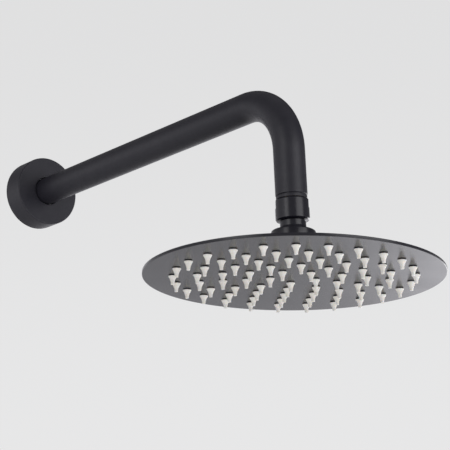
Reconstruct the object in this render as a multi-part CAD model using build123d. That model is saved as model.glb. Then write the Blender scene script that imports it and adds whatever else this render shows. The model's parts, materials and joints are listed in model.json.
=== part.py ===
from build123d import *
import os
from math import sqrt

# Wall-mounted shower arm with an ultra-thin round rain head on a ball swivel, in millimetres.
# The origin is on the arm's axis at the wall plane. The wall is the plane Y = 0 and the arm runs
# along -Y, turns down at the elbow and carries the head below. +Z is up.

os.makedirs("parts", exist_ok=True)

# ---- arm ---------------------------------------------------------------------------------------
ARM_REACH = 315.5           # wall plane to the axis of the drop
TUBE_OD = 22.0
TUBE_WALL = 1.2
BEND_R = 41.0               # centre line of the elbow
TUBE_START_Y = -1.0         # the tube's end stands this far off the wall plane
TUBE_SHOULDER_Z = -74.0     # lower end of the tube's full diameter
TUBE_SHOULDER_CHAMFER = 0.4
TUBE_GROOVE_R = 10.2        # groove under the shoulder, and the collar that ends the tube below it
TUBE_COLLAR_Z = -74.9
TUBE_COLLAR_R = 10.7
DROP_END_Z = -76.4          # lower end of the tube

# ---- G 1/2 threads, drawn at their major diameter ------------------------------------------------
THREAD_R = 20.955 / 2
THREAD_BORE_R = THREAD_R + 0.05
NIPPLE_BORE_R = 7.5
NIPPLE_PLUG_GAP = 0.06      # brazing gap inside the tube
NIPPLE_PLUG = 12.0
INLET_THREAD = 14.0         # thread that stands behind the wall plane
OUTLET_THREAD_END_Z = -86.0

# ---- wall flange ---------------------------------------------------------------------------------
FLANGE_R = 28.4
FLANGE_DEPTH = 18.8
FLANGE_WALL = 1.4
FLANGE_FACE = 1.6
FLANGE_HOLE_R = TUBE_OD / 2 + 0.55
FLANGE_EDGE_R = 0.7
FLANGE_BOSS_R = 16.0
FLANGE_BOSS_DEPTH = 7.0
GRIP_SECTION_R = 1.07       # O-ring that grips the tube
GASKET_THICK = 1.0

# ---- swivel connector and its ball ----------------------------------------------------------------
CONNECTOR_TOP_Z = -76.6
CONNECTOR_R = 11.65
CONNECTOR_FLATS = 22.2      # across the two wrench flats
CONNECTOR_STEP_Z = -83.1    # lower end of the flats
CONNECTOR_SHOULDER_Z = -90.7
CONNECTOR_TAPER_Z = -91.6   # the shoulder tapers in, then steps in to the neck
CONNECTOR_TAPER_R = 10.9
CONNECTOR_NECK_Z = -91.9
CONNECTOR_NECK_R = 8.9
CONNECTOR_CHAMFER = 0.95
WRENCH_ANGLE = -40.0        # how far the flats are turned about the drop
WATERWAY_R = 5.0
WASHER_SEAT_Z = -88.4
RECESS_R = 7.6
RECESS_FLOOR_Z = -91.2
RESTRICTOR_R = 7.4
RESTRICTOR_GROOVE_R = 5.9
RESTRICTOR_GROOVE_Z = -89.8
RESTRICTOR_SECTION_R = 0.8
BALL_R = 9.8
BALL_Z = -99.9              # centre of the swivel
BALL_CUT = -6.5             # flat under the ball, from its centre
HEAD_TILT = 3.2             # resting lean of the head about Y, towards +X

# ---- swivel housing: heights below are from the ball's centre ------------------------------------------
RUN = 0.06                  # radial running clearance of the spherical faces
SEAT_R = 11.2               # outside of the ball seat
SEAT_TOP, SEAT_FOOT = -1.2, -3.0
LIP_FOOT = 0.8              # underside of the lip that holds the ball down
NUT_R = 15.15
NUT_LIP_R = 9.7
NUT_TOP = 1.8
NUT_DOME = 1.6
NUT_FOOT = -16.0
NUT_FLATS = 27.0
NUT_FLATS_TOP = -4.0
NUT_STEP = -3.8             # top of the nut's thread
NECK_R = 12.6
NECK_TOP = -5.0             # top of the hub's neck
SEAL_TOP, SEAL_FOOT = -5.1, -7.0
HUB_WATERWAY_R = 7.2

# ---- head ---------------------------------------------------------------------------------------------
HEAD_R = 101.6              # 8 inch head
HEAD_BOTTOM_Z = -130.1
HEAD_THICK = 2.0
SHEET = 0.5
RIM_WIDTH = 1.5
SPRAY_SHEET = 0.7
RIM_EDGE_R = 0.3
HEAD_TOP_Z = HEAD_BOTTOM_Z + HEAD_THICK
DISC_R = 25.0
DISC_THICK = 1.2
HUB_FOOT_R = 17.5
HUB_WAIST_R = 14.0
DIMPLE_R = 3.0
DIMPLE_TIP_R = 1.2
DIMPLE_RINGS = {2: 5, 4: 10}    # nozzle ring inside the dimples: how many dimples
DIMPLE_TURN = 18.0              # turn of the dimples from the nozzle spokes

# ---- nozzles --------------------------------------------------------------------------------------------
NOZZLE_PITCH = 16.2         # spacing of the rings
NOZZLE_RINGS = 5            # ring k has 5 k nozzles
NOZZLES_PER_RING = 5
SPOKE_ANGLE = -88.2         # one spoke of nozzles points away from the wall
COLLAR_R = 2.65
COLLAR_DROP = 0.45
NOZZLE_NECK_R = 2.15
NOZZLE_FLANGE_R = 3.1
NOZZLE_FLANGE = 0.4
NOZZLE_BASE_R = 2.9
NOZZLE_TIP_R = 1.2
NOZZLE_LENGTH = 5.9         # from the collar to the tip
NOZZLE_BORE_R = 0.5
NOZZLE_CAVITY_R = 1.4

TUBE_R = TUBE_OD / 2
TUBE_BORE_R = TUBE_R - TUBE_WALL


def chain(points):
    """Straight edges through the points of a half section, each (radius, height)."""
    return [Line(a, b) for a, b in zip(points, points[1:])]


def turned(edges):
    """Solid of revolution about Z from the closed half section made by the edges."""
    return revolve(Plane.XZ * make_face(edges), Axis.Z)


def turned_points(points):
    return turned(chain(points + points[:1]))


def at_drop(shape):
    return Pos(0, -ARM_REACH, 0) * shape


def in_head(shape):
    """Place a piece made about Z under the drop, and lean it about the ball with the head."""
    return Pos(0, -ARM_REACH, BALL_Z) * Rot(0, HEAD_TILT, 0) * Pos(0, 0, -BALL_Z) * shape


def along_wall_axis(shape):
    """Turn a shape made about Z so that its height runs along Y, away from the room."""
    return Rot(-90, 0, 0) * shape


def on_ball(radius, height):
    """Point of a half section on the sphere about the ball's centre, at a height from it."""
    return (sqrt(radius**2 - height**2), BALL_Z + height)


def ball_arc(radius, start, end):
    """Arc about the ball's centre between two heights from it."""
    return ThreePointArc(on_ball(radius, start), on_ball(radius, (start + end) / 2), on_ball(radius, end))


def ring(inner_r, outer_r, low, high):
    return Pos(0, 0, low) * extrude(Circle(outer_r) - Circle(inner_r), high - low)


def wrench_flats(body_r, across, low, high):
    """The two segments that a pair of wrench flats takes off a round body."""
    depth = body_r + 2 - across / 2
    cutters = [
        Pos(side * (across / 2 + depth / 2), 0, (low + high) / 2) * Box(depth, 3 * body_r, high - low)
        for side in (-1, 1)
    ]
    return Rot(0, 0, WRENCH_ANGLE) * (cutters[0] + cutters[1])


# ---- arm and wall pieces ---------------------------------------------------------------------------------

def arm_tube():
    path = FilletPolyline(
        (0, TUBE_START_Y, 0), (0, -ARM_REACH, 0), (0, -ARM_REACH, DROP_END_Z), radius=BEND_R
    )
    section = Plane(origin=(0, TUBE_START_Y, 0), z_dir=(0, -1, 0)) * (Circle(TUBE_R) - Circle(TUBE_BORE_R))
    turned_off = turned_points([
        (TUBE_COLLAR_R, DROP_END_Z - 1), (TUBE_R + 1, DROP_END_Z - 1), (TUBE_R + 1, TUBE_SHOULDER_Z + 1),
        (TUBE_R, TUBE_SHOULDER_Z + TUBE_SHOULDER_CHAMFER), (TUBE_R - TUBE_SHOULDER_CHAMFER, TUBE_SHOULDER_Z),
        (TUBE_GROOVE_R, TUBE_SHOULDER_Z), (TUBE_GROOVE_R, TUBE_COLLAR_Z), (TUBE_COLLAR_R, TUBE_COLLAR_Z),
    ])
    return sweep(section, path) - at_drop(turned_off)


def nipple(thread_length):
    """Threaded end piece about Z: a plug below Z = 0 and the thread above it."""
    plug_r = TUBE_BORE_R - NIPPLE_PLUG_GAP
    lead = 1.2
    return turned_points([
        (NIPPLE_BORE_R, -NIPPLE_PLUG), (plug_r, -NIPPLE_PLUG), (plug_r, 0), (THREAD_R, 0),
        (THREAD_R, thread_length - lead), (THREAD_R - lead, thread_length), (NIPPLE_BORE_R, thread_length),
    ])


def wall_nipple():
    return Pos(0, TUBE_START_Y, 0) * along_wall_axis(nipple(INLET_THREAD - TUBE_START_Y))


def outlet_nipple():
    """The lower thread, with a relief groove between the tube and the connector."""
    thread_length = DROP_END_Z - OUTLET_THREAD_END_Z
    relief = ring(TUBE_BORE_R - NIPPLE_PLUG_GAP, THREAD_R + 1, 0, 1.0)
    return at_drop(Pos(0, 0, DROP_END_Z) * Rot(180, 0, 0) * (nipple(thread_length) - relief))


def wall_flange():
    """Round cup that covers the wall fitting, with a groove for the ring that grips the tube."""
    back, front = -GASKET_THICK, -FLANGE_DEPTH
    boss_back = front + FLANGE_BOSS_DEPTH
    inner_r = FLANGE_R - FLANGE_WALL
    groove_mid = (front + boss_back) / 2
    groove_half = GRIP_SECTION_R + 0.1
    groove_r = TUBE_R + 2 * GRIP_SECTION_R + 0.06
    cup = turned_points([
        (FLANGE_HOLE_R, front), (FLANGE_R, front), (FLANGE_R, back), (inner_r, back),
        (inner_r, front + FLANGE_FACE), (FLANGE_BOSS_R, front + FLANGE_FACE), (FLANGE_BOSS_R, boss_back),
        (FLANGE_HOLE_R, boss_back), (FLANGE_HOLE_R, groove_mid + groove_half),
        (groove_r, groove_mid + groove_half), (groove_r, groove_mid - groove_half),
        (FLANGE_HOLE_R, groove_mid - groove_half),
    ])
    front_edge = cup.edges().filter_by(GeomType.CIRCLE).group_by(Axis.Z)[0].sort_by(SortBy.RADIUS)[-1]
    return along_wall_axis(fillet(front_edge, FLANGE_EDGE_R))


def flange_grip_ring():
    middle = -FLANGE_DEPTH + FLANGE_BOSS_DEPTH / 2
    return Pos(0, middle, 0) * along_wall_axis(Torus(TUBE_R + GRIP_SECTION_R + 0.03, GRIP_SECTION_R))


def flange_wall_gasket():
    return along_wall_axis(ring(FLANGE_R - FLANGE_WALL + 0.05, FLANGE_R - 0.1, -GASKET_THICK, 0))


# ---- swivel ----------------------------------------------------------------------------------------------

def swivel_connector():
    """Threaded socket with two wrench flats; the swivel ball is turned on its lower end."""
    ball_top = sqrt(BALL_R**2 - CONNECTOR_NECK_R**2)
    edges = chain([
        (THREAD_BORE_R, CONNECTOR_TOP_Z), (CONNECTOR_R - CONNECTOR_CHAMFER, CONNECTOR_TOP_Z),
        (CONNECTOR_R, CONNECTOR_TOP_Z - CONNECTOR_CHAMFER), (CONNECTOR_R, CONNECTOR_SHOULDER_Z),
        (CONNECTOR_TAPER_R, CONNECTOR_TAPER_Z), (CONNECTOR_NECK_R, CONNECTOR_NECK_Z), on_ball(BALL_R, ball_top),
    ])
    edges.append(ball_arc(BALL_R, ball_top, BALL_CUT))
    edges += chain([
        on_ball(BALL_R, BALL_CUT), (WATERWAY_R, BALL_Z + BALL_CUT), (WATERWAY_R, RECESS_FLOOR_Z),
        (RECESS_R, RECESS_FLOOR_Z), (RECESS_R, WASHER_SEAT_Z), (THREAD_BORE_R, WASHER_SEAT_Z),
        (THREAD_BORE_R, CONNECTOR_TOP_Z),
    ])
    flats = wrench_flats(CONNECTOR_R, CONNECTOR_FLATS, CONNECTOR_STEP_Z, CONNECTOR_TOP_Z + 1)
    return at_drop(turned(edges) - flats)


def connector_washer():
    return at_drop(ring(NIPPLE_BORE_R, THREAD_R - 0.3, WASHER_SEAT_Z + 0.4, OUTLET_THREAD_END_Z))


def inlet_strainer():
    """Perforated screen disc, clamped under the washer."""
    screen = extrude(Circle(THREAD_R - 0.4) - HexLocations(0.95, 7, 7) * Circle(0.55), 0.4)
    return at_drop(Pos(0, 0, WASHER_SEAT_Z) * screen)


def flow_restrictor():
    """Plastic disc with six metering holes, in the recess under the screen."""
    foot_z, top_z = RECESS_FLOOR_Z + 0.05, WASHER_SEAT_Z - 0.1
    groove_half = RESTRICTOR_SECTION_R + 0.05
    disc = turned_points([
        (0, foot_z), (RESTRICTOR_R, foot_z), (RESTRICTOR_R, RESTRICTOR_GROOVE_Z - groove_half),
        (RESTRICTOR_GROOVE_R, RESTRICTOR_GROOVE_Z - groove_half),
        (RESTRICTOR_GROOVE_R, RESTRICTOR_GROOVE_Z + groove_half),
        (RESTRICTOR_R, RESTRICTOR_GROOVE_Z + groove_half), (RESTRICTOR_R, top_z), (0, top_z),
    ])
    hole = Pos(0, 0, RECESS_FLOOR_Z - 1) * extrude(Circle(0.7), 5)
    return at_drop(disc - [place * hole for place in PolarLocations(3.0, 6)])


def restrictor_o_ring():
    middle_r = RESTRICTOR_GROOVE_R + RESTRICTOR_SECTION_R + 0.03
    return at_drop(Pos(0, 0, RESTRICTOR_GROOVE_Z) * Torus(middle_r, RESTRICTOR_SECTION_R))


def ball_seat_ring():
    """Floating ring between the ball and the retaining nut, spherical inside and outside."""
    inner = BALL_R + RUN
    return at_drop(turned([
        ball_arc(inner, SEAT_TOP, SEAT_FOOT),
        Line(on_ball(inner, SEAT_FOOT), on_ball(SEAT_R, SEAT_FOOT)),
        ball_arc(SEAT_R, SEAT_FOOT, SEAT_TOP),
        Line(on_ball(SEAT_R, SEAT_TOP), on_ball(inner, SEAT_TOP)),
    ]))


def ball_seal():
    """Rubber ring in the hub's pocket that wipes the underside of the ball."""
    inner, outer = BALL_R + RUN, SEAT_R - RUN
    edges = chain([
        on_ball(inner, SEAL_FOOT), (outer, BALL_Z + SEAL_FOOT), (outer, BALL_Z + SEAL_TOP),
        on_ball(inner, SEAL_TOP),
    ])
    return in_head(turned(edges + [ball_arc(inner, SEAL_TOP, SEAL_FOOT)]))


def retaining_nut():
    """Domed nut that holds the ball: a lip above, a spherical cavity, and the thread below."""
    lip_r, cavity_r = BALL_R + RUN, SEAT_R + RUN
    thread_r = NECK_R + 0.05
    foot_chamfer = 0.6
    top_z, foot_z, step_z = BALL_Z + NUT_TOP, BALL_Z + NUT_FOOT, BALL_Z + NUT_STEP
    dome_z = top_z - NUT_DOME
    dome_mid = (NUT_LIP_R + 0.71 * (NUT_R - NUT_LIP_R), dome_z + 0.64 * NUT_DOME)
    edges = chain([on_ball(lip_r, NUT_TOP), (NUT_LIP_R, top_z)])
    edges.append(ThreePointArc((NUT_LIP_R, top_z), dome_mid, (NUT_R, dome_z)))
    edges += chain([
        (NUT_R, dome_z), (NUT_R, foot_z + foot_chamfer), (NUT_R - foot_chamfer, foot_z),
        (thread_r, foot_z), (thread_r, step_z), on_ball(cavity_r, NUT_STEP),
    ])
    edges += [
        ball_arc(cavity_r, NUT_STEP, LIP_FOOT),
        Line(on_ball(cavity_r, LIP_FOOT), on_ball(lip_r, LIP_FOOT)),
        ball_arc(lip_r, LIP_FOOT, NUT_TOP),
    ]
    flats = wrench_flats(NUT_R, NUT_FLATS, foot_z - 1, BALL_Z + NUT_FLATS_TOP)
    return in_head(turned(edges) - flats)


def head_hub():
    """Threaded neck with the seal's pocket, flaring out to its foot on the head."""
    neck_top_z = BALL_Z + NECK_TOP
    pocket_floor_z = BALL_Z + SEAL_FOOT - 0.05
    foot_z = HEAD_TOP_Z + DISC_THICK
    waist_z = BALL_Z + NUT_FOOT - 0.5
    flare_mid = (HUB_WAIST_R + 0.9, (waist_z + foot_z) / 2 - 1.0)
    edges = chain([
        (HUB_WATERWAY_R, foot_z), (HUB_WATERWAY_R, pocket_floor_z), (SEAT_R, pocket_floor_z),
        (SEAT_R, neck_top_z), (NECK_R - 0.5, neck_top_z), (NECK_R, neck_top_z - 0.5),
        (NECK_R, waist_z), (HUB_WAIST_R, waist_z), (HUB_WAIST_R, waist_z - 2.0),
    ])
    edges.append(ThreePointArc((HUB_WAIST_R, waist_z - 2.0), flare_mid, (HUB_FOOT_R, foot_z + 1.0)))
    edges += chain([(HUB_FOOT_R, foot_z + 1.0), (HUB_FOOT_R, foot_z), (HUB_WATERWAY_R, foot_z)])
    return in_head(turned(edges))


# ---- head ------------------------------------------------------------------------------------------------

def reinforcing_disc():
    disc = ring(HUB_WATERWAY_R, DISC_R, HEAD_TOP_Z, HEAD_TOP_Z + DISC_THICK)
    top_edge = disc.edges().filter_by(GeomType.CIRCLE).group_by(Axis.Z)[-1].sort_by(SortBy.RADIUS)[-1]
    return in_head(fillet(top_edge, 0.5))


def head_top_plate():
    """Upper sheet with its rim turned down, and dimples that tie it to the spray sheet."""
    underside_z = HEAD_TOP_Z - SHEET
    seam_z = HEAD_BOTTOM_Z + SPRAY_SHEET
    pan = turned_points([
        (HUB_WATERWAY_R, underside_z), (HUB_WATERWAY_R, HEAD_TOP_Z), (HEAD_R - RIM_EDGE_R, HEAD_TOP_Z),
        (HEAD_R, HEAD_TOP_Z - RIM_EDGE_R), (HEAD_R, seam_z), (HEAD_R - RIM_WIDTH, seam_z),
        (HEAD_R - RIM_WIDTH, underside_z),
    ])
    gap = underside_z - seam_z
    for inner_ring, count in DIMPLE_RINGS.items():
        dimple = PolarLocations((inner_ring + 0.5) * NOZZLE_PITCH, count, start_angle=SPOKE_ANGLE + DIMPLE_TURN)
        slope = SHEET / gap * (DIMPLE_R - DIMPLE_TIP_R)
        pan += [
            place * Pos(0, 0, seam_z + gap / 2) * Cone(DIMPLE_TIP_R, DIMPLE_R, gap) for place in dimple
        ]
        pan -= [
            place * Pos(0, 0, HEAD_TOP_Z - gap / 2) * Cone(DIMPLE_TIP_R, DIMPLE_R - slope / 2, gap)
            for place in dimple
        ]
    return in_head(pan)


def nozzle_places(ring_number):
    return PolarLocations(ring_number * NOZZLE_PITCH, ring_number * NOZZLES_PER_RING, start_angle=SPOKE_ANGLE)


def head_spray_plate():
    """Lower sheet with a drawn collar round every nozzle."""
    top_z = HEAD_BOTTOM_Z + SPRAY_SHEET
    collar_z = HEAD_BOTTOM_Z - COLLAR_DROP
    sheet = turned_points([
        (0, HEAD_BOTTOM_Z), (HEAD_R - RIM_EDGE_R, HEAD_BOTTOM_Z), (HEAD_R, HEAD_BOTTOM_Z + RIM_EDGE_R),
        (HEAD_R, top_z), (0, top_z),
    ])
    places = [place for k in range(1, NOZZLE_RINGS + 1) for place in nozzle_places(k)]
    collar = Pos(0, 0, collar_z) * extrude(Circle(COLLAR_R), COLLAR_DROP)
    hole = Pos(0, 0, collar_z - 1) * extrude(Circle(NOZZLE_NECK_R), COLLAR_DROP + SPRAY_SHEET + 2)
    sheet += [place * collar for place in places]
    sheet -= [place * hole for place in places]
    return in_head(sheet)


def nozzle():
    """One soft nozzle about Z: flange inside the head, neck in the collar, trumpet below it."""
    sheet_top = HEAD_BOTTOM_Z + SPRAY_SHEET
    base_z = HEAD_BOTTOM_Z - COLLAR_DROP
    tip_z = base_z - NOZZLE_LENGTH
    cavity_z = base_z - 0.5
    flare_mid = (NOZZLE_TIP_R + 0.66, base_z - 2.0)
    edges = chain([
        (NOZZLE_CAVITY_R, sheet_top + NOZZLE_FLANGE), (NOZZLE_FLANGE_R, sheet_top + NOZZLE_FLANGE),
        (NOZZLE_FLANGE_R, sheet_top), (NOZZLE_NECK_R, sheet_top), (NOZZLE_NECK_R, base_z),
        (NOZZLE_BASE_R, base_z), (NOZZLE_BASE_R, base_z - 0.35),
    ])
    edges.append(ThreePointArc((NOZZLE_BASE_R, base_z - 0.35), flare_mid, (NOZZLE_TIP_R, tip_z)))
    edges += chain([
        (NOZZLE_TIP_R, tip_z), (NOZZLE_BORE_R, tip_z), (NOZZLE_BORE_R, cavity_z - 1.6),
        (NOZZLE_CAVITY_R, cavity_z), (NOZZLE_CAVITY_R, sheet_top + NOZZLE_FLANGE),
    ])
    return turned(edges)


def nozzle_ring(ring_number):
    one = nozzle()
    return Compound(children=[in_head(place * one) for place in nozzle_places(ring_number)])


PIECES = {
    "wall_flange": wall_flange,
    "flange_grip_ring": flange_grip_ring,
    "flange_wall_gasket": flange_wall_gasket,
    "arm_tube": arm_tube,
    "wall_nipple": wall_nipple,
    "outlet_nipple": outlet_nipple,
    "swivel_connector": swivel_connector,
    "connector_washer": connector_washer,
    "inlet_strainer": inlet_strainer,
    "flow_restrictor": flow_restrictor,
    "restrictor_o_ring": restrictor_o_ring,
    "ball_seat_ring": ball_seat_ring,
    "ball_seal": ball_seal,
    "retaining_nut": retaining_nut,
    "head_hub": head_hub,
    "reinforcing_disc": reinforcing_disc,
    "head_top_plate": head_top_plate,
    "head_spray_plate": head_spray_plate,
}

for name, make in PIECES.items():
    export_step(make(), f"parts/{name}.step")

for number in range(1, NOZZLE_RINGS + 1):
    export_step(nozzle_ring(number), f"parts/nozzle_ring_{number}.step")
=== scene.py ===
import json
import math

import bmesh
import bpy
from mathutils import Matrix, Quaternion, Vector
from mathutils.geometry import delaunay_2d_cdt


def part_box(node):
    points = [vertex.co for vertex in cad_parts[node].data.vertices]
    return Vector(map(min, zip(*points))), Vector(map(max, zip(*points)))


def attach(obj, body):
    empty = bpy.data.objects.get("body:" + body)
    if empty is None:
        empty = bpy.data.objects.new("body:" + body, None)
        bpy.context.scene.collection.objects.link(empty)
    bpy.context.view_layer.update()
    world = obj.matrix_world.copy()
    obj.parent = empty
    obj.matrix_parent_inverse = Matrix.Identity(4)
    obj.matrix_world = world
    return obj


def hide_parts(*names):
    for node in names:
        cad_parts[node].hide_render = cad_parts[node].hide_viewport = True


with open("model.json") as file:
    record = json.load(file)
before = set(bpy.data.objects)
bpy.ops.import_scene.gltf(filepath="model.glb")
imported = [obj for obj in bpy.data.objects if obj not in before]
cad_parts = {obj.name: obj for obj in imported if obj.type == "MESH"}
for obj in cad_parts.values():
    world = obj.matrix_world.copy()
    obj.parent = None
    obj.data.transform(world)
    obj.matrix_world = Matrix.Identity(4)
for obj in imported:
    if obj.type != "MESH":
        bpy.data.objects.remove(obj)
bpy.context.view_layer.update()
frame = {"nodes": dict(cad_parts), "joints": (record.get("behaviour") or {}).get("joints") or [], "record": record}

# Shapes are drawn in millimetres about their own axis, and turned to metres when their mesh is made.
MM = 0.001

# ---- places that the frame gives -----------------------------------------------------------------

SPIN = next(joint for joint in frame["joints"] if joint["name"] == "head_spin")
BALL = Vector(SPIN["pos_m"]) / MM
HEAD_AXIS = Vector(SPIN["axis"])


def low_corner(node):
    """The low corner of the node's box in the CAD model, in millimetres."""
    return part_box(node)[0] / MM


def high_corner(node):
    """The high corner of the node's box in the CAD model, in millimetres."""
    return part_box(node)[1] / MM


# Heights and distances from the wall, as the CAD model has them.
ARM_REACH = -BALL.y
TUBE_START_Y = high_corner("arm_tube").y
DROP_END_Z = low_corner("arm_tube").z
FLANGE_R = high_corner("wall_flange").x
FLANGE_FRONT_Y = low_corner("wall_flange").y
FLANGE_BACK_Y = high_corner("wall_flange").y
CONNECTOR_TOP_Z = high_corner("swivel_connector").z
INLET_END_Y = high_corner("wall_nipple").y

UPRIGHT = Matrix.Identity(4)
AT_DROP = Matrix.Translation((0, -ARM_REACH, 0))
IN_HEAD = Matrix.Translation(BALL) @ Vector((0, 0, 1)).rotation_difference(HEAD_AXIS).to_matrix().to_4x4()
# The wall pieces are drawn with their height along +Y, away from the room.
FROM_WALL = Matrix.Rotation(math.radians(-90), 4, "X")

# ---- sizes in millimetres ------------------------------------------------------------------------

# A name that ends in Z is a height from the arm's axis.
TUBE_R = 11.0
TUBE_BORE_R = 9.8
BEND_R = 41.0
TUBE_SHOULDER_Z = -74.0
TUBE_SHOULDER_CHAMFER = 0.4
TUBE_GROOVE_R = 10.2
TUBE_COLLAR_Z = -74.9
TUBE_COLLAR_R = 10.7

FLANGE_WALL = 1.4
FLANGE_FACE = 1.6
FLANGE_HOLE_R = 11.55
FLANGE_BOSS_R = 16.0
FLANGE_BOSS_DEPTH = 7.0
GRIP_SECTION_R = 1.07
GROOVE_ROOM = 0.06          # room over the grip ring in its groove
GROOVE_SIDE_ROOM = 0.1
GASKET_INSET = 0.1

THREAD_R = 10.4775
THREAD_DEPTH = 1.16
THREAD_PITCH = 1.814
NIPPLE_BORE_R = 7.5
NIPPLE_PLUG_R = 9.74
NIPPLE_PLUG = 12.0
NIPPLE_NOSE = 0.5           # chamfer on the end of the thread
THREAD_WAVE = 0.62          # swing of the thread's form in depths; past 0.5 its crests and roots go flat
THREAD_RUN_OUT = 1.3
THREAD_LEAD = 1.0           # plain end before the first thread
THREAD_ROOM = 0.05

CONNECTOR_R = 11.65
CONNECTOR_FLATS = 22.2
CONNECTOR_STEP_Z = -83.1
CONNECTOR_CHAMFER = 0.95
CONNECTOR_SHOULDER_Z = -90.7
CONNECTOR_TAPER_Z = -91.6
CONNECTOR_TAPER_R = 10.9
CONNECTOR_NECK_Z = -91.9
CONNECTOR_NECK_R = 8.9
WASHER_SEAT_Z = -88.4
RECESS_R = 7.6
RECESS_FLOOR_Z = -91.2
WATERWAY_R = 5.0
WRENCH_ANGLE = math.radians(-40)
BALL_R = 9.8
BALL_CUT = -6.5
BALL_ROOM = 0.06
FLAT_LEDGE = 0.15           # height of the slope where a wrench flat ends

# The other heights of the swivel housing and the head are from the ball's centre, along the head's axis.
NUT_R = 15.15
NUT_LIP_R = 9.7
NUT_TOP = 1.8
NUT_DOME_FOOT = 0.2
NUT_LIP_FOOT = 0.8
NUT_STEP = -3.8
NUT_FLATS = 27.0
NUT_FLATS_TOP = -4.0
NUT_FOOT = -16.0
NUT_CHAMFER = 0.6
NUT_CAVITY_R = 11.26
NECK_R = 12.6
NECK_TOP = -5.0
NECK_CHAMFER = 0.5
SEAL_SEAT = -7.05
SEAL_SEAT_R = 11.2
HUB_WATERWAY_R = 7.2
HUB_SHOULDER_GAP = 0.5      # between the nut's foot and the hub's shoulder
HUB_WAIST_R = 14.0
HUB_WAIST = 2.0
HUB_FOOT_R = 17.5
HUB_FOOT_EDGE = 1.0
DISC_R = 25.0
DISC_THICK = 1.2

HEAD_R = 101.6
SPRAY_FACE_Z = -130.1
HEAD_BOTTOM = SPRAY_FACE_Z - BALL.z
HEAD_THICK = 2.0
HEAD_TOP = HEAD_BOTTOM + HEAD_THICK
SHEET = 0.5
SPRAY_SHEET = 0.7
RIM_WIDTH = 1.5
RIM_BAND = 3.0              # ring of the flat faces next to the rim that the pierced part leaves alone
RIM_ROUND = 0.3
SEAM_ROUND = 0.12
DIMPLE_R = 3.0
DIMPLE_FLOOR_R = 1.2
DIMPLE_RINGS = {2: 5, 4: 10}    # nozzle ring inside the dimples: how many dimples
SPOKE_ANGLE = math.radians(-88.2)
DIMPLE_TURN = math.radians(18)

NOZZLE_PITCH = 16.2
NOZZLE_RINGS = 5
NOZZLES_PER_RING = 5
COLLAR_R = 2.65
COLLAR_DROP = 0.45
NOZZLE_NECK_R = 2.15
NOZZLE_BASE_R = 2.9
NOZZLE_TIP_R = 1.2
NOZZLE_LENGTH = 5.9
NOZZLE_FLARE = 2.1          # power with which the trumpet narrows
NOZZLE_LIP = 0.35           # straight edge of the trumpet, at the collar
NOZZLE_STRAIGHT = 0.3       # straight end of the trumpet, at the tip
NOZZLE_BORE_R = 0.5
NOZZLE_BORE = 2.1           # depth below the collar at which the narrow bore starts
NOZZLE_INLET_R = 1.4
NOZZLE_INLET = 0.5          # depth below the collar down to which the inlet is wide
NOZZLE_FLANGE_R = 3.1
NOZZLE_FLANGE = 0.4
NOZZLE_ROOM = 0.02

SHARP_ANGLE = math.radians(32)      # edges sharper than this stay sharp in the shading


# ---- outlines ------------------------------------------------------------------------------------

def arc(middle, radius, start, end, steps):
    """Points of a round stretch of an outline; the angles are in degrees from the radius direction."""
    turns = [math.radians(start + (end - start) * i / steps) for i in range(steps + 1)]
    return [(middle[0] + radius * math.cos(t), middle[1] + radius * math.sin(t)) for t in turns]


def height_angle(height, radius):
    """The angle in degrees at which a circle about the origin reaches the height."""
    return math.degrees(math.asin(height / radius))


def quarter_turns(steps):
    return [math.pi / 2 * i / steps for i in range(steps + 1)]


def rounded(corners, steps=5, support=0.25):
    """An outline from its corners, each (radius, height) or (radius, height, rounding).

    A rounded corner becomes an arc, with a support point beyond each end that keeps the flats flat."""
    outline = []
    count = len(corners)
    for i, corner in enumerate(corners):
        here = Vector(corner[:2])
        size = corner[2] if len(corner) > 2 else 0
        if not size:
            outline.append(tuple(here))
            continue
        before = (Vector(corners[i - 1][:2]) - here).normalized()
        after = (Vector(corners[(i + 1) % count][:2]) - here).normalized()
        half = before.angle(after) / 2
        reach = size / math.tan(half)
        middle = here + (before + after).normalized() * size / math.sin(half)
        start, end = here + before * reach - middle, here + after * reach - middle
        turn = start.angle_signed(end)
        outline.append(tuple(here + before * (reach + support)))
        outline += [tuple(middle + Matrix.Rotation(-turn * k / steps, 2) @ start) for k in range(steps + 1)]
        outline.append(tuple(here + after * (reach + support)))
    return outline


# ---- meshes --------------------------------------------------------------------------------------

def even_turns(count, extra=()):
    """Angles round an axis: evenly spaced ones, and extra ones where an edge has to fall."""
    step = math.tau / count
    kept = [i * step for i in range(count)]
    for angle in extra:
        nearest = round(angle % math.tau / step) % count
        kept[nearest] = angle % math.tau
    return sorted(kept)


def clamp(value):
    return min(max(value, 0), 1)


def at_axis(radius, angle, height):
    return Vector((radius * math.cos(angle), radius * math.sin(angle), height))


def turned_rows(mesh, outline, turns, at, place):
    """A row of vertices round the axis for each (radius, height); radius 0 is one vertex on the axis."""
    return [
        [mesh.verts.new(place @ at(radius, angle, height) * MM) for angle in (turns if radius else turns[:1])]
        for radius, height in outline
    ]


def add_turned(mesh, outline, turns, at=at_axis, place=UPRIGHT):
    """Skin a closed outline of (radius, height) points round the axis."""
    rows = turned_rows(mesh, outline, turns, at, place)
    join_rows(mesh, rows + rows[:1])


def join_rows(mesh, rows):
    """Faces between each row of vertices and the next; a row may be a single vertex on the axis."""
    for upper, lower in zip(rows, rows[1:]):
        count = max(len(upper), len(lower))
        if count == 1:
            continue
        for i in range(count):
            j = (i + 1) % count
            corners = [
                upper[i % len(upper)], upper[j % len(upper)], lower[j % len(lower)], lower[i % len(lower)],
            ]
            mesh.faces.new(list(dict.fromkeys(corners)))


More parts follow.
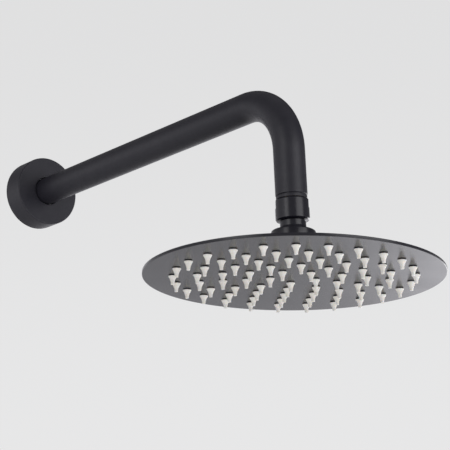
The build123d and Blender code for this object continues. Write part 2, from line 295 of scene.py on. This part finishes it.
def finish_piece(mesh, node, body, material):
    """Make the mesh an object that rides on the body and takes the node's place."""
    name = node + "_skin"
    bmesh.ops.recalc_face_normals(mesh, faces=mesh.faces)
    data = bpy.data.meshes.new(name)
    mesh.to_mesh(data)
    mesh.free()
    data.shade_smooth()
    data.set_sharp_from_angle(angle=SHARP_ANGLE)
    data.materials.append(material)
    piece = bpy.data.objects.new(name, data)
    bpy.context.scene.collection.objects.link(piece)
    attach(piece, body)
    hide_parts(node)


def turned_piece(node, body, outline, material, place, segments=192, at=at_axis, extra=()):
    mesh = bmesh.new()
    add_turned(mesh, outline, even_turns(segments, extra), at, place)
    finish_piece(mesh, node, body, material)


def wrench_flats(across, body_r, low, high):
    """A placing function that cuts two flats between two heights, and the angles of the flats' edges."""
    edge = math.acos(across / 2 / body_r)

    def at(radius, turn, height):
        facing = abs(math.cos(turn - WRENCH_ANGLE))
        if low <= height <= high and radius * facing > across / 2:
            radius = across / 2 / facing
        return at_axis(radius, turn, height)

    return at, [WRENCH_ANGLE + side + way * edge for side in (0, math.pi) for way in (-1, 1)]


# ---- arm and wall pieces -------------------------------------------------------------------------

STRAIGHT = ARM_REACH - BEND_R + TUBE_START_Y
BEND_LENGTH = BEND_R * math.pi / 2
ARM_LENGTH = STRAIGHT + BEND_LENGTH - BEND_R - DROP_END_Z


def at_arm(radius, angle, distance):
    """A point of the arm: distance runs along the tube from its end at the wall."""
    if distance < STRAIGHT:
        middle, turn = Vector((0, TUBE_START_Y - distance, 0)), 0
    elif distance < STRAIGHT + BEND_LENGTH:
        turn = (distance - STRAIGHT) / BEND_R
        middle = Vector((0, BEND_R - ARM_REACH - BEND_R * math.sin(turn), BEND_R * (math.cos(turn) - 1)))
    else:
        turn = math.pi / 2
        middle = Vector((0, -ARM_REACH, -BEND_R - (distance - STRAIGHT - BEND_LENGTH)))
    outward = Vector((0, -math.sin(turn), math.cos(turn)))
    return middle + radius * (math.sin(angle) * outward + math.cos(angle) * Vector((1, 0, 0)))


def arm_tube(material):
    """The bent tube; its outline's heights are distances along the arm from the wall end."""
    steps = 56
    support = 3.0
    bend = [STRAIGHT + BEND_LENGTH * i / steps for i in range(steps + 1)]
    along = [support, STRAIGHT - support] + bend + [STRAIGHT + BEND_LENGTH + support]
    shoulder = ARM_LENGTH - (TUBE_SHOULDER_Z - DROP_END_Z)
    collar = ARM_LENGTH - (TUBE_COLLAR_Z - DROP_END_Z)
    outline = [(TUBE_BORE_R, 0), (TUBE_R, 0)]
    outline += [(TUBE_R, distance) for distance in along]
    outline += [
        (TUBE_R, shoulder - TUBE_SHOULDER_CHAMFER, 0.3), (TUBE_R - TUBE_SHOULDER_CHAMFER, shoulder, 0.03),
        (TUBE_GROOVE_R, shoulder), (TUBE_GROOVE_R, collar),
        (TUBE_COLLAR_R, collar, 0.1), (TUBE_COLLAR_R, ARM_LENGTH, 0.15), (TUBE_BORE_R, ARM_LENGTH),
    ]
    outline += [(TUBE_BORE_R, distance) for distance in reversed(along)]
    outline = rounded(outline, support=0.02)
    turned_piece("arm_tube", "arm", outline, material, UPRIGHT, segments=144, at=at_arm)


def wall_flange(material):
    """A cup over the wall fitting, with a boss inside that holds the grip ring's groove."""
    front, back = FLANGE_FRONT_Y, FLANGE_BACK_Y
    boss_back = front + FLANGE_BOSS_DEPTH
    inner_r = FLANGE_R - FLANGE_WALL
    face_back = front + FLANGE_FACE
    groove_r = TUBE_R + 2 * GRIP_SECTION_R + GROOVE_ROOM
    groove_mid = (front + boss_back) / 2
    groove_front = groove_mid - (GRIP_SECTION_R + GROOVE_SIDE_ROOM)
    groove_back = groove_mid + GRIP_SECTION_R + GROOVE_SIDE_ROOM
    outline = rounded([
        (FLANGE_HOLE_R, front, 0.35), (FLANGE_R, front, 0.7), (FLANGE_R, back, 0.2), (inner_r, back, 0.2),
        (inner_r, face_back, 0.6), (FLANGE_BOSS_R, face_back), (FLANGE_BOSS_R, boss_back, 0.3),
        (FLANGE_HOLE_R, boss_back), (FLANGE_HOLE_R, groove_back), (groove_r, groove_back),
        (groove_r, groove_front), (FLANGE_HOLE_R, groove_front),
    ])
    turned_piece("wall_flange", "arm", outline, material, FROM_WALL)


def flange_grip_ring(material):
    middle = (TUBE_R + GRIP_SECTION_R + GROOVE_ROOM / 2, FLANGE_FRONT_Y + FLANGE_BOSS_DEPTH / 2)
    section = arc(middle, GRIP_SECTION_R, 0, 360, 24)[1:]
    turned_piece("flange_grip_ring", "arm", section, material, FROM_WALL)


def flange_wall_gasket(material):
    inner, outer = FLANGE_R - FLANGE_WALL + GASKET_INSET / 2, FLANGE_R - GASKET_INSET
    corners = [(inner, FLANGE_BACK_Y), (outer, FLANGE_BACK_Y), (outer, 0, 0.25), (inner, 0, 0.25)]
    outline = rounded(corners, support=0.1)
    turned_piece("flange_wall_gasket", "arm", outline, material, FROM_WALL)


def wall_nipple(material):
    """The inlet thread: a rounded form that winds along the cylinder and runs out at both ends."""
    start, end = TUBE_START_Y, INLET_END_Y
    last = end - THREAD_LEAD
    root_r = THREAD_R - THREAD_DEPTH

    def at(radius, turn, height):
        if start < height <= end and radius > root_r:
            wave = 0.5 + THREAD_WAVE * math.cos(math.tau * height / THREAD_PITCH - turn)
            growth = clamp((last - height) / THREAD_RUN_OUT) * clamp((height - start) / THREAD_RUN_OUT)
            radius = root_r + THREAD_DEPTH * clamp(wave) * growth
        return at_axis(radius, turn, height)

    rows = 132
    plug_end = start - NIPPLE_PLUG
    outline = [(NIPPLE_BORE_R, plug_end), (NIPPLE_PLUG_R, plug_end), (NIPPLE_PLUG_R, start)]
    outline += [(THREAD_R, start + (last - start) * i / rows) for i in range(1, rows + 1)]
    outline += [(root_r - 0.01, end - NIPPLE_NOSE), (root_r - NIPPLE_NOSE, end), (NIPPLE_BORE_R, end, 0.2)]
    outline = rounded(outline, support=0.1)
    turned_piece("wall_nipple", "arm", outline, material, FROM_WALL, segments=160, at=at)


# ---- swivel --------------------------------------------------------------------------------------

def swivel_connector(material):
    """Threaded socket with two wrench flats and the ball on its foot; the ball's bore stays open."""
    top = CONNECTOR_TOP_Z
    neck_height = math.sqrt(BALL_R**2 - CONNECTOR_NECK_R**2)
    cut_r = math.sqrt(BALL_R**2 - BALL_CUT**2)
    body = rounded([
        (THREAD_R, top), (CONNECTOR_R - CONNECTOR_CHAMFER, top, 0.3),
        (CONNECTOR_R, top - CONNECTOR_CHAMFER, 0.5),
        (CONNECTOR_R, CONNECTOR_STEP_Z + FLAT_LEDGE), (CONNECTOR_R, CONNECTOR_STEP_Z),
        (CONNECTOR_R, CONNECTOR_SHOULDER_Z, 0.8), (CONNECTOR_TAPER_R, CONNECTOR_TAPER_Z, 0.25),
        (CONNECTOR_NECK_R, CONNECTOR_NECK_Z, 0.2), (CONNECTOR_NECK_R, BALL.z + neck_height + 0.3),
    ], support=0.12)
    ball = arc((0, BALL.z), BALL_R, height_angle(neck_height, BALL_R), height_angle(BALL_CUT, BALL_R), 20)
    bore = [
        (cut_r - 0.2, BALL.z + BALL_CUT), (WATERWAY_R, BALL.z + BALL_CUT), (WATERWAY_R, RECESS_FLOOR_Z),
        (RECESS_R, RECESS_FLOOR_Z), (RECESS_R, WASHER_SEAT_Z), (THREAD_R, WASHER_SEAT_Z),
    ]
    outline = body + ball + bore
    at, edges = wrench_flats(CONNECTOR_FLATS, CONNECTOR_R, CONNECTOR_STEP_Z + FLAT_LEDGE / 2, top + 1)
    turned_piece("swivel_connector", "arm", outline, material, AT_DROP, at=at, extra=edges)


def retaining_nut(material):
    """Domed nut: a lip that holds the ball from above, a round cavity, and a skirt over the hub's neck."""
    foot, step = NUT_FOOT, NUT_STEP
    lip_r = BALL_R + BALL_ROOM
    bore_r = NECK_R + THREAD_ROOM
    lip = arc((0, 0), lip_r, height_angle(NUT_LIP_FOOT, lip_r), height_angle(NUT_TOP, lip_r), 4)[:-1]
    dome_width, dome_height = NUT_R - NUT_LIP_R, NUT_TOP - NUT_DOME_FOOT
    dome = [
        (NUT_R - dome_width * (1 - math.cos(t)), NUT_DOME_FOOT + dome_height * math.sin(t))
        for t in quarter_turns(20)[::-1]
    ]
    lower = rounded([
        (NUT_R, NUT_FLATS_TOP + FLAT_LEDGE), (NUT_R, NUT_FLATS_TOP), (NUT_R, foot + NUT_CHAMFER, 0.3),
        (NUT_R - NUT_CHAMFER, foot, 0.3), (bore_r, foot), (bore_r, step),
    ], support=0.12)
    cavity_end = height_angle(NUT_LIP_FOOT, NUT_CAVITY_R)
    cavity = arc((0, 0), NUT_CAVITY_R, height_angle(step, NUT_CAVITY_R), cavity_end, 10)
    outline = lip + dome + lower + cavity
    at, edges = wrench_flats(NUT_FLATS, NUT_R, foot - 1, NUT_FLATS_TOP + FLAT_LEDGE / 2)
    turned_piece("retaining_nut", "head", outline, material, IN_HEAD, at=at, extra=edges)


def head_hub(material):
    """Neck inside the nut, a shoulder under it, and a foot that flares out on the reinforcing disc."""
    shoulder, foot = NUT_FOOT - HUB_SHOULDER_GAP, HEAD_TOP + DISC_THICK
    flare_top, flare_foot = shoulder - HUB_WAIST, foot + HUB_FOOT_EDGE
    flare_width = HUB_FOOT_R - HUB_WAIST_R
    outline = [
        (HUB_WATERWAY_R, foot), (HUB_WATERWAY_R, SEAL_SEAT), (SEAL_SEAT_R, SEAL_SEAT),
        (SEAL_SEAT_R, NECK_TOP), (NECK_R - NECK_CHAMFER, NECK_TOP), (NECK_R, NECK_TOP - NECK_CHAMFER),
        (NECK_R, shoulder), (HUB_WAIST_R, shoulder, 0.3), (HUB_WAIST_R, flare_top + 0.1),
    ]
    outline += [
        (HUB_FOOT_R - flare_width * math.cos(t), flare_foot + (flare_top - flare_foot) * (1 - math.sin(t)))
        for t in quarter_turns(16)
    ]
    outline.append((HUB_FOOT_R, foot))
    turned_piece("head_hub", "head", rounded(outline, support=0.1), material, IN_HEAD)


def reinforcing_disc(material):
    low, high = HEAD_TOP, HEAD_TOP + DISC_THICK
    corners = [(HUB_WATERWAY_R, high), (DISC_R, high, 0.5), (DISC_R, low), (HUB_WATERWAY_R, low)]
    outline = rounded(corners, support=0.5)
    turned_piece("reinforcing_disc", "head", outline, material, IN_HEAD)


# ---- head ----------------------------------------------------------------------------------------

def ring_places(ring_radius, count, start):
    turns = [start + math.tau * i / count for i in range(count)]
    return [Vector((ring_radius * math.cos(t), ring_radius * math.sin(t))) for t in turns]


def nozzle_places(number):
    return ring_places(number * NOZZLE_PITCH, number * NOZZLES_PER_RING, SPOKE_ANGLE)


def flat_face(mesh, loops, place):
    """A flat face inside the first loop and outside the others; each loop is (centre, vertices)."""
    inverse = place.inverted()
    points, edges, vertices = [], [], []
    for _, loop in loops:
        first = len(points)
        points += [(inverse @ (vertex.co / MM)).to_2d() for vertex in loop]
        edges += [(first + i, first + (i + 1) % len(loop)) for i in range(len(loop))]
        vertices += loop
    out, _, faces, source, _, _ = delaunay_2d_cdt(points, edges, [], 0, 1e-6)
    holes = [(centre, (inverse @ (loop[0].co / MM)).to_2d() - centre) for centre, loop in loops[1:]]
    for face in faces:
        middle = sum((out[i] for i in face), Vector((0, 0))) / len(face)
        if all((middle - centre).length > spoke.length * 0.999 for centre, spoke in holes):
            mesh.faces.new([vertices[source[i][0]] for i in face])


def pierced_sheet(mesh, rim, spots, place, rim_segments=288, spot_segments=28):
    """A round sheet. Rim is its edge from the upper face to the lower one, and a spot is (centre, strips).

    A spot with one strip is a hole through the sheet. A spot with two is pressed in: the first strip runs
    from the upper face to the axis and the second from the axis to the lower face."""
    def rows_of(outline, centre, turns):
        rows = turned_rows(mesh, outline, turns, at_axis, place @ Matrix.Translation((*centre, 0)))
        join_rows(mesh, rows)
        return rows

    middle = Vector((0, 0))
    rim_rows = rows_of(rim, middle, even_turns(rim_segments))
    upper, lower = [(middle, rim_rows[0])], [(middle, rim_rows[-1])]
    for centre, strips in spots:
        made = [rows_of(strip, centre, even_turns(spot_segments)) for strip in strips]
        upper.append((centre, made[0][0]))
        lower.append((centre, made[-1][-1]))
    flat_face(mesh, upper, place)
    flat_face(mesh, lower, place)


def head_top_plate(material):
    """Upper sheet with its rim turned down, the hub's hole, and dimples pressed down to the spray sheet."""
    under, seam = HEAD_TOP - SHEET, HEAD_BOTTOM + SPRAY_SHEET
    floor = seam + SHEET
    inner_r = HEAD_R - RIM_WIDTH
    rim = [(HEAD_R - RIM_BAND, HEAD_TOP)] + rounded([
        (0, HEAD_TOP), (HEAD_R, HEAD_TOP, RIM_ROUND), (HEAD_R, seam, SEAM_ROUND), (inner_r, seam),
        (inner_r, under), (inner_r - 1.0, under),
    ], support=0.1)[1:]
    hub_hole = (Vector((0, 0)), [[(HUB_WATERWAY_R, HEAD_TOP), (HUB_WATERWAY_R, under)]])
    pressed = [
        [(DIMPLE_R + 0.9, HEAD_TOP)] + rounded([
            (DIMPLE_R + 0.6, HEAD_TOP), (DIMPLE_R, HEAD_TOP, 0.5), (DIMPLE_FLOOR_R, floor, 0.25), (0, floor),
        ], steps=4, support=0.05),
        [(0, seam), (DIMPLE_FLOOR_R, seam), (DIMPLE_R, under), (DIMPLE_R + 0.5, under)],
    ]
    dimples = [
        (centre, pressed)
        for inner_ring, count in DIMPLE_RINGS.items()
        for centre in ring_places((inner_ring + 0.5) * NOZZLE_PITCH, count, SPOKE_ANGLE + DIMPLE_TURN)
    ]
    mesh = bmesh.new()
    pierced_sheet(mesh, rim, [hub_hole] + dimples, IN_HEAD)
    finish_piece(mesh, "head_top_plate", "head", material)


def head_spray_plate(material):
    """Lower sheet with a drawn collar round every nozzle."""
    top = HEAD_BOTTOM + SPRAY_SHEET
    foot = HEAD_BOTTOM - COLLAR_DROP
    rim = rounded([
        (HEAD_R - RIM_BAND, top), (HEAD_R, top, SEAM_ROUND), (HEAD_R, HEAD_BOTTOM, RIM_ROUND),
        (0, HEAD_BOTTOM),
    ], support=0.1)[:-1] + [(HEAD_R - RIM_BAND, HEAD_BOTTOM)]
    collar = [(NOZZLE_NECK_R, top)] + rounded([
        (NOZZLE_NECK_R, top - 0.1), (NOZZLE_NECK_R, foot, 0.12), (COLLAR_R, foot, 0.2),
        (COLLAR_R, HEAD_BOTTOM, 0.35), (COLLAR_R + 0.9, HEAD_BOTTOM),
    ], steps=4, support=0.05)
    centres = [centre for number in range(1, NOZZLE_RINGS + 1) for centre in nozzle_places(number)]
    mesh = bmesh.new()
    pierced_sheet(mesh, rim, [(centre, [collar]) for centre in centres], IN_HEAD)
    finish_piece(mesh, "head_spray_plate", "head", material)


def nozzle_outline():
    """Half section of a soft nozzle: a flange in the head, a neck in the collar, and a trumpet below it."""
    sheet_top = HEAD_BOTTOM + SPRAY_SHEET
    flange_top = sheet_top + NOZZLE_FLANGE
    base = HEAD_BOTTOM - COLLAR_DROP
    tip = base - NOZZLE_LENGTH
    neck_r = NOZZLE_NECK_R - NOZZLE_ROOM
    top = [
        (NOZZLE_INLET_R, flange_top), (NOZZLE_FLANGE_R, flange_top, 0.1), (NOZZLE_FLANGE_R, sheet_top),
        (neck_r, sheet_top), (neck_r, base), (NOZZLE_BASE_R, base, 0.15),
    ]
    flare_steps = 18
    flare_length = NOZZLE_LENGTH - NOZZLE_LIP - NOZZLE_STRAIGHT
    flare = []
    for i in range(flare_steps + 1):
        down = i / flare_steps
        radius = NOZZLE_TIP_R + (NOZZLE_BASE_R - NOZZLE_TIP_R) * (1 - down) ** NOZZLE_FLARE
        flare.append((radius, base - NOZZLE_LIP - flare_length * down))
    mouth = [
        (NOZZLE_TIP_R, tip, 0.16), (NOZZLE_BORE_R, tip, 0.12), (NOZZLE_BORE_R, base - NOZZLE_BORE),
        (NOZZLE_INLET_R, base - NOZZLE_INLET),
    ]
    return rounded(top + flare + mouth, steps=3, support=0.04)


def nozzle_ring(number, material):
    mesh = bmesh.new()
    outline = nozzle_outline()
    for centre in nozzle_places(number):
        add_turned(mesh, outline, even_turns(36), place=IN_HEAD @ Matrix.Translation((*centre, 0)))
    finish_piece(mesh, f"nozzle_ring_{number}", "head", material)


# ---- materials -----------------------------------------------------------------------------------

class Finish:
    """A procedural material: noise in object coordinates varies its colour, roughness and surface."""

    def __init__(self, name, roughness, metallic=0.0):
        self.material = bpy.data.materials.new(name)
        self.material.use_nodes = True
        self.nodes = self.material.node_tree.nodes
        self.links = self.material.node_tree.links
        self.shader = self.nodes["Principled BSDF"]
        self.shader.inputs["Roughness"].default_value = roughness
        self.shader.inputs["Metallic"].default_value = metallic
        self.coordinates = self.nodes.new("ShaderNodeTexCoord")

    def noise(self, scale, detail=2.0, stretch=(1, 1, 1)):
        mapping = self.nodes.new("ShaderNodeMapping")
        mapping.inputs["Scale"].default_value = stretch
        self.links.new(self.coordinates.outputs["Object"], mapping.inputs["Vector"])
        texture = self.nodes.new("ShaderNodeTexNoise")
        texture.inputs["Scale"].default_value = scale
        texture.inputs["Detail"].default_value = detail
        self.links.new(mapping.outputs["Vector"], texture.inputs["Vector"])
        return texture.outputs["Fac"]

    def spread(self, value, low, high):
        """The middle of a noise value's range, where most of it lies, stretched to run from low to high."""
        node = self.nodes.new("ShaderNodeMapRange")
        node.inputs["From Min"].default_value = 0.3
        node.inputs["From Max"].default_value = 0.7
        node.inputs["To Min"].default_value = low
        node.inputs["To Max"].default_value = high
        self.links.new(value, node.inputs["Value"])
        return node.outputs["Result"]

    def colours(self, value, first, second):
        mix = self.nodes.new("ShaderNodeMix")
        mix.data_type = "RGBA"
        mix.inputs["A"].default_value = (*first, 1)
        mix.inputs["B"].default_value = (*second, 1)
        self.links.new(self.spread(value, 0, 1), mix.inputs["Factor"])
        self.links.new(mix.outputs["Result"], self.shader.inputs["Base Color"])

    def roughness(self, value, low, high):
        self.links.new(self.spread(value, low, high), self.shader.inputs["Roughness"])

    def relief(self, value, depth, below=None):
        """Raise and lower the surface by the value; depth is in metres."""
        bump = self.nodes.new("ShaderNodeBump")
        bump.inputs["Distance"].default_value = depth
        self.links.new(value, bump.inputs["Height"])
        if below:
            self.links.new(below, bump.inputs["Normal"])
        self.links.new(bump.outputs["Normal"], self.shader.inputs["Normal"])
        return bump.outputs["Normal"]


def satin_black():
    """Powder coat: even black with a fine orange peel."""
    finish = Finish("satin_black_coat", 0.45)
    finish.colours(finish.noise(90, 3), (0.0135, 0.013, 0.0195), (0.0175, 0.0165, 0.0235))
    finish.roughness(finish.noise(420, 3), 0.41, 0.49)
    peel = finish.relief(finish.noise(1100, 1), 0.00006)
    finish.relief(finish.noise(3600, 2), 0.000018, peel)
    return finish.material


def gloss_black():
    """Smoother black over turned metal: faint rings left by the lathe."""
    finish = Finish("gloss_black_coat", 0.24)
    finish.colours(finish.noise(160, 2), (0.0085, 0.008, 0.0135), (0.0115, 0.011, 0.0165))
    finish.roughness(finish.noise(500, 2), 0.2, 0.27)
    rings = finish.noise(1, 3, (60, 60, 5200))
    finish.relief(rings, 0.000012)
    return finish.material


def brushed_black():
    """Black coat over rolled sheet: a grain along the sheet that shows only close up."""
    finish = Finish("brushed_black_sheet", 0.24)
    finish.colours(finish.noise(45, 4), (0.012, 0.0117, 0.0165), (0.017, 0.0165, 0.0215))
    finish.roughness(finish.noise(30, 5), 0.21, 0.27)
    grain = finish.noise(1, 4, (70, 3600, 3600))
    finish.relief(grain, 0.000008)
    return finish.material


def nozzle_silicone():
    """Off-white soft rubber that lets a little light through."""
    finish = Finish("nozzle_silicone", 0.45)
    finish.colours(finish.noise(62, 2), (0.85, 0.815, 0.765), (0.92, 0.895, 0.855))
    finish.shader.inputs["Subsurface Weight"].default_value = 0.25
    finish.shader.inputs["Subsurface Radius"].default_value = (1.0, 0.8, 0.6)
    finish.shader.inputs["Subsurface Scale"].default_value = 0.0015
    finish.roughness(finish.noise(900, 2), 0.4, 0.52)
    finish.relief(finish.noise(2600, 2), 0.00001)
    return finish.material


def brass_fitting():
    """Bare brass with the marks of the lathe."""
    finish = Finish("machined_brass", 0.3, metallic=1.0)
    finish.colours(finish.noise(140, 4), (0.62, 0.43, 0.19), (0.78, 0.58, 0.30))
    finish.roughness(finish.noise(700, 3), 0.22, 0.4)
    finish.relief(finish.noise(1, 2, (80, 5200, 80)), 0.00001)
    return finish.material


def black_rubber():
    finish = Finish("black_rubber_seal", 0.7)
    finish.colours(finish.noise(300, 3), (0.012, 0.012, 0.012), (0.028, 0.027, 0.026))
    finish.roughness(finish.noise(900, 2), 0.6, 0.8)
    finish.relief(finish.noise(2400, 3), 0.00003)
    return finish.material


def white_plastic():
    finish = Finish("white_acetal", 0.4)
    finish.colours(finish.noise(200, 2), (0.74, 0.74, 0.71), (0.82, 0.82, 0.8))
    finish.roughness(finish.noise(800, 2), 0.34, 0.46)
    finish.relief(finish.noise(1800, 2), 0.00001)
    return finish.material


def steel_screen():
    finish = Finish("screen_steel", 0.3, metallic=1.0)
    finish.colours(finish.noise(500, 3), (0.48, 0.48, 0.48), (0.62, 0.62, 0.63))
    finish.roughness(finish.noise(1200, 2), 0.25, 0.4)
    finish.relief(finish.noise(1, 2, (200, 6000, 200)), 0.00001)
    return finish.material


slot_of = {part["node"]: part["material_slot"] for part in frame["record"]["subparts"]}
finish_of = {
    "satin_black": satin_black(), "gloss_black": gloss_black(), "brushed_black": brushed_black(),
    "brass_fitting": brass_fitting(), "black_rubber": black_rubber(), "nozzle_silicone": nozzle_silicone(),
    "white_plastic": white_plastic(), "steel_screen": steel_screen(),
}
# Each function is named for the node whose place its piece takes. The other nodes keep their CAD meshes.
SKINS = [
    arm_tube, wall_flange, flange_grip_ring, flange_wall_gasket, wall_nipple, swivel_connector, retaining_nut,
    head_hub, reinforcing_disc, head_top_plate, head_spray_plate,
]


# ---- camera, floor and light ---------------------------------------------------------------------

CAMERA_AT = Vector((-0.6797, -1.0420, -0.3407))     # metres
CAMERA_YAW = 0.706          # radians from +Y towards +X
CAMERA_PITCH = 0.245        # radians above the horizon
CAMERA_ROLL = -0.043
CAMERA_LENS = 121.4         # millimetres
FLOOR_Z = -2.1              # metres; the arm is a little over two metres above the floor
FLOOR_HALF = 20.0


def add_camera():
    aim = Vector((
        math.sin(CAMERA_YAW) * math.cos(CAMERA_PITCH),
        math.cos(CAMERA_YAW) * math.cos(CAMERA_PITCH),
        math.sin(CAMERA_PITCH),
    ))
    data = bpy.data.cameras.new("camera")
    data.lens = CAMERA_LENS
    camera = bpy.data.objects.new("camera", data)
    camera.location = CAMERA_AT
    camera.rotation_mode = "QUATERNION"
    camera.rotation_quaternion = Quaternion(aim, -CAMERA_ROLL) @ aim.to_track_quat("-Z", "Y")
    bpy.context.scene.collection.objects.link(camera)
    bpy.context.scene.camera = camera


def add_softbox(name, at, towards, size, radiance, mirrored):
    """A soft light that the camera doesn't see; radiance is how bright its face is.

    One that isn't mirrored lights matt surfaces alone."""
    light = bpy.data.lights.new(name, "AREA")
    light.shape = "RECTANGLE"
    light.size, light.size_y = size
    light.energy = radiance * math.pi * size[0] * size[1]
    box = bpy.data.objects.new(name, light)
    box.location = at
    box.rotation_mode = "QUATERNION"
    box.rotation_quaternion = (towards - at).to_track_quat("-Z", "Y")
    box.visible_camera = False
    box.visible_glossy = mirrored
    bpy.context.scene.collection.objects.link(box)


# Where the studio is dim: a direction, the closeness to it (1 is straight along it) at which the light
# starts to fall and at which it is lowest, and the share of the light at each.
DIM_PATCHES = [
    ((-0.629, -0.738, 0.243), 0.7, 0.97, 1.2, 0.42),    # round the photographer
    ((0.836, -0.483, 0.259), 0.8, 0.97, 1.0, 0.22),     # right of the photographer
    ((-0.55, 0.8, 0.2), 0.7, 0.95, 1.0, 0.65),          # left, at the wall
    ((0.9, 0.3, 0.32), 0.8, 0.97, 1.0, 0.25),           # right, above the head
]
GLOW = (0.896, 0.24, -0.375)
GLOW_RISE = (0.85, 0.93, 0.0, 2.0)

# How the light changes with height, from -1 straight down to 1 straight up: the two heights between which
# it changes, and its strength or its share at each.
HIGH_FALL = (0.05, 0.65, 1.0, 0.15)
LOW_FALLS = [(-0.2, -0.05, 0.5, 1.0), (-0.75, -0.35, 0.35, 1.0)]
CEILING_RISE = (0.88, 0.98, 0.0, 0.1)
BACKDROP_FALL = (0.08, 0.4, 0.8, 0.745)
MATT_LIGHT_RISE = (-0.1, 0.1, 0.78, 0.9)

# Name, place from the middle of the spray face and size in metres, radiance, and whether glossy faces
# mirror it.
SOFTBOXES = [
    ("left_softbox", (-1.18, -0.2, 0.1), (0.5, 1.2), 1.1, True),
    ("front_softbox", (0.19, -1.25, 0.0), (1.1, 1.2), 1.2, True),
    ("right_softbox", (1.1, 0.3, -0.15), (0.4, 0.5), 3.0, True),
    ("low_softbox", (-0.3, -0.4, -0.9), (1.6, 1.6), 0.4, True),
    ("fill_softbox", (0.9, -0.85, -0.15), (0.8, 0.8), 2.6, False),
]


def set_world():
    """Plain pale studio, as three lights by kind of ray.

    The camera sees an even backdrop. Matt surfaces get an even light. Glossy ones mirror a light that is
    dimmer high up, below the horizon and in the dim patches, and glows low on the right."""
    world = bpy.data.worlds.new("studio")
    bpy.context.scene.world = world
    world.use_nodes = True
    nodes, links = world.node_tree.nodes, world.node_tree.links
    nodes.clear()

    def map_range(value, from_low, from_high, to_low, to_high):
        node = nodes.new("ShaderNodeMapRange")
        node.interpolation_type = "SMOOTHSTEP"
        node.inputs["From Min"].default_value = from_low
        node.inputs["From Max"].default_value = from_high
        node.inputs["To Min"].default_value = to_low
        node.inputs["To Max"].default_value = to_high
        links.new(value, node.inputs["Value"])
        return node.outputs["Result"]

    direction = nodes.new("ShaderNodeTexCoord")
    split = nodes.new("ShaderNodeSeparateXYZ")
    links.new(direction.outputs["Generated"], split.inputs["Vector"])

    def along(axis):
        """How nearly a direction points along the axis."""
        node = nodes.new("ShaderNodeVectorMath")
        node.operation = "DOT_PRODUCT"
        node.inputs[1].default_value = axis
        links.new(direction.outputs["Generated"], node.inputs[0])
        return node.outputs["Value"]

    def combine(operation, first, second):
        node = nodes.new("ShaderNodeMath")
        node.operation = operation
        links.new(first, node.inputs[0])
        links.new(second, node.inputs[1])
        return node.outputs["Value"]

    height = split.outputs["Z"]
    strength = map_range(height, *HIGH_FALL)
    for fall in LOW_FALLS:
        strength = combine("MULTIPLY", strength, map_range(height, *fall))
    for axis, *fall in DIM_PATCHES:
        strength = combine("MULTIPLY", strength, map_range(along(axis), *fall))
    glow = map_range(along(GLOW), *GLOW_RISE)
    ceiling = map_range(height, *CEILING_RISE)
    strength = combine("ADD", strength, combine("ADD", glow, ceiling))

    light = nodes.new("ShaderNodeBackground")
    light.inputs["Color"].default_value = (0.96, 0.95, 1.0, 1)
    links.new(strength, light.inputs["Strength"])
    backdrop = nodes.new("ShaderNodeBackground")
    backdrop.inputs["Color"].default_value = (1.0, 1.0, 1.005, 1)
    links.new(map_range(height, *BACKDROP_FALL), backdrop.inputs["Strength"])

    matt = nodes.new("ShaderNodeBackground")
    links.new(map_range(height, *MATT_LIGHT_RISE), matt.inputs["Strength"])

    ray = nodes.new("ShaderNodeLightPath")

    def choose(condition, otherwise, chosen):
        node = nodes.new("ShaderNodeMixShader")
        links.new(ray.outputs[condition], node.inputs["Fac"])
        links.new(otherwise, node.inputs[1])
        links.new(chosen, node.inputs[2])
        return node.outputs["Shader"]

    lit = choose("Is Diffuse Ray", light.outputs["Background"], matt.outputs["Background"])
    output = nodes.new("ShaderNodeOutputWorld")
    links.new(choose("Is Camera Ray", lit, backdrop.outputs["Background"]), output.inputs["Surface"])


def add_lights():
    head = Vector((0, -ARM_REACH, HEAD_BOTTOM + BALL.z)) * MM
    for name, offset, size, radiance, mirrored in SOFTBOXES:
        add_softbox(name, head + Vector(offset), head, size, radiance, mirrored)


def add_floor():
    signs = [(-1, -1), (1, -1), (1, 1), (-1, 1)]
    corners = [(x * FLOOR_HALF, y * FLOOR_HALF, FLOOR_Z) for x, y in signs]
    mesh = bpy.data.meshes.new("floor")
    mesh.from_pydata(corners, [], [(0, 1, 2, 3)])
    floor = bpy.data.objects.new("floor", mesh)
    bpy.context.scene.collection.objects.link(floor)
    finish = Finish("pale_floor", 0.8)
    finish.colours(finish.noise(3, 2), (0.78, 0.78, 0.78), (0.82, 0.82, 0.82))
    mesh.materials.append(finish.material)
    # The head is lit from below by the studio, not by the floor.
    floor.visible_glossy = False
    floor.visible_diffuse = False


# ---- the whole -----------------------------------------------------------------------------------

bpy.context.scene.view_settings.view_transform = "Standard"
add_camera()
set_world()
add_lights()
add_floor()

for name, node in frame["nodes"].items():
    node.data.materials.clear()
    node.data.materials.append(finish_of[slot_of[name]])

for make_skin in SKINS:
    make_skin(finish_of[slot_of[make_skin.__name__]])

for number in range(1, NOZZLE_RINGS + 1):
    nozzle_ring(number, finish_of["nozzle_silicone"])
